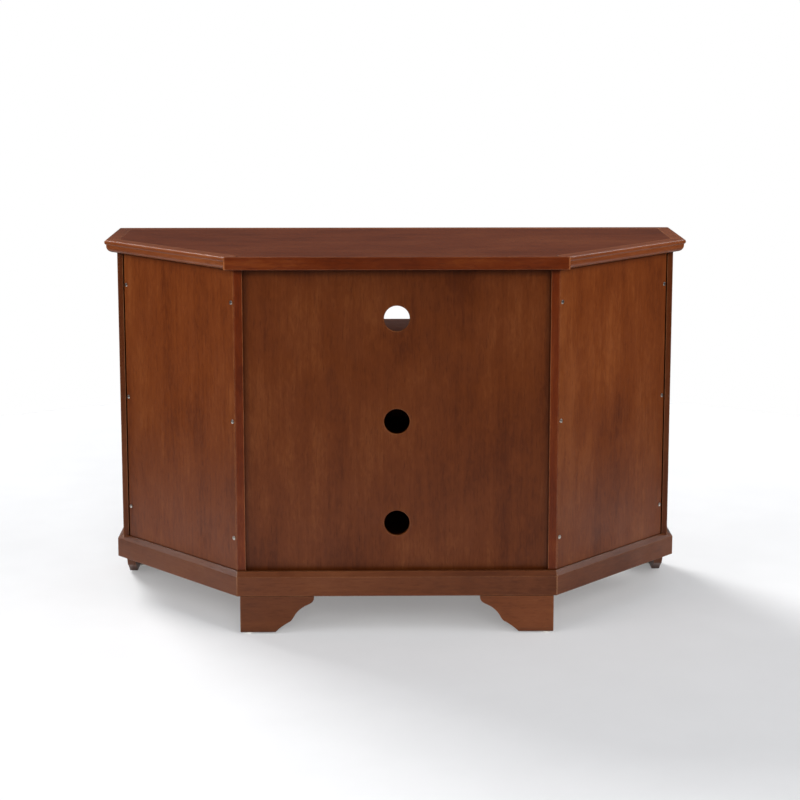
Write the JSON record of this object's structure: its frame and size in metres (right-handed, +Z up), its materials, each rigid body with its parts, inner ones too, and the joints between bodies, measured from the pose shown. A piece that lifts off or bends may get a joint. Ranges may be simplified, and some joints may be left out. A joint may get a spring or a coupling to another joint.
{
  "type": "corner television cabinet",
  "caption": "Corner television cabinet in dark red-brown wood: six-sided plan, open media bay over a two-door cupboard, moulded top, bracket feet and a back with cable holes.",
  "frame": {"origin": "on the floor, at the centre of the overall box", "axes": "+Z up; -Y towards the front, where the doors open; +Y towards the room's corner; +X to the right as seen from the front"},
  "size_m": [1.219, 0.495, 0.762],
  "materials": {
    "top_veneer": "satin lacquer, horizontal grain",
    "moulding_wood": "satin lacquer",
    "edge_lacquer": "satin lacquer, redder than the panels",
    "panel_veneer": "satin lacquer, vertical grain",
    "frame_wood": "satin lacquer",
    "door_panel_veneer": "satin lacquer, vertical grain",
    "base_wood": "satin lacquer",
    "inner_wood": "thin sealer coat, duller than the outside",
    "brass": "aged, lacquered",
    "steel": "bright zinc plated",
    "catch_plastic": "moulded",
    "glide_nylon": "moulded"
  },
  "bodies": {
    "carcass": {"top_board": "top_veneer", "top_moulding_front": "moulding_wood", "top_moulding_right": "moulding_wood", "top_moulding_angled_right": "moulding_wood", "top_lipping_rear": "edge_lacquer", "top_moulding_angled_left": "moulding_wood", "top_moulding_left": "moulding_wood", "side_board_left": "panel_veneer", "side_board_right": "panel_veneer", "rear_post_left": "edge_lacquer", "rear_post_right": "edge_lacquer", "upright_cleats": "inner_wood", "back_panel": "panel_veneer", "angled_back_left": "panel_veneer", "angled_back_right": "panel_veneer", "media_shelf": "inner_wood", "cupboard_floor": "inner_wood", "shelf_pins": "steel", "front_stile_left": "frame_wood", "front_stile_right": "frame_wood", "front_top_rail": "frame_wood", "front_shelf_rail": "frame_wood", "front_bottom_rail": "frame_wood", "plinth_front": "base_wood", "plinth_right": "base_wood", "plinth_angled_right": "base_wood", "plinth_rear": "base_wood", "plinth_angled_left": "base_wood", "plinth_left": "base_wood", "rear_foot_left": "base_wood", "rear_foot_right": "base_wood", "front_foot_left": "base_wood", "front_foot_right": "base_wood", "front_foot_returns": "base_wood", "foot_blocks": "inner_wood", "foot_glides": "glide_nylon", "top_cleats": "inner_wood", "wood_screws": "steel", "magnetic_catches": "catch_plastic", "hinge_frame_leaves": "brass", "hinge_pins": "brass"},
    "left_door": {"left_door_hinge_stile": "frame_wood", "left_door_lock_stile": "frame_wood", "left_door_top_rail": "frame_wood", "left_door_bottom_rail": "frame_wood", "left_door_mullion": "frame_wood", "left_door_panels": "door_panel_veneer", "left_door_hinge_leaves": "brass", "left_door_knob": "brass", "left_door_strike": "steel"},
    "right_door": {"right_door_hinge_stile": "frame_wood", "right_door_lock_stile": "frame_wood", "right_door_top_rail": "frame_wood", "right_door_bottom_rail": "frame_wood", "right_door_mullion": "frame_wood", "right_door_panels": "door_panel_veneer", "right_door_hinge_leaves": "brass", "right_door_knob": "brass", "right_door_strike": "steel"},
    "loose_shelf": {"adjustable_shelf": "inner_wood"}
  },
  "joints": [
    {"name": "left_door_hinge", "type": "hinge", "parent": "carcass", "child": "left_door", "pos_m": [-0.536, -0.225, 0.33575], "axis": [0, 0, -1], "range_deg": [0, 120]},
    {"name": "right_door_hinge", "type": "hinge", "parent": "carcass", "child": "right_door", "pos_m": [0.536, -0.225, 0.33575], "axis": [0, 0, 1], "range_deg": [0, 120]},
    {"name": "shelf_lift", "type": "slide", "parent": "carcass", "child": "loose_shelf", "axis": [0, 0, 1], "range_m": [0, 0.03]}
  ]
}
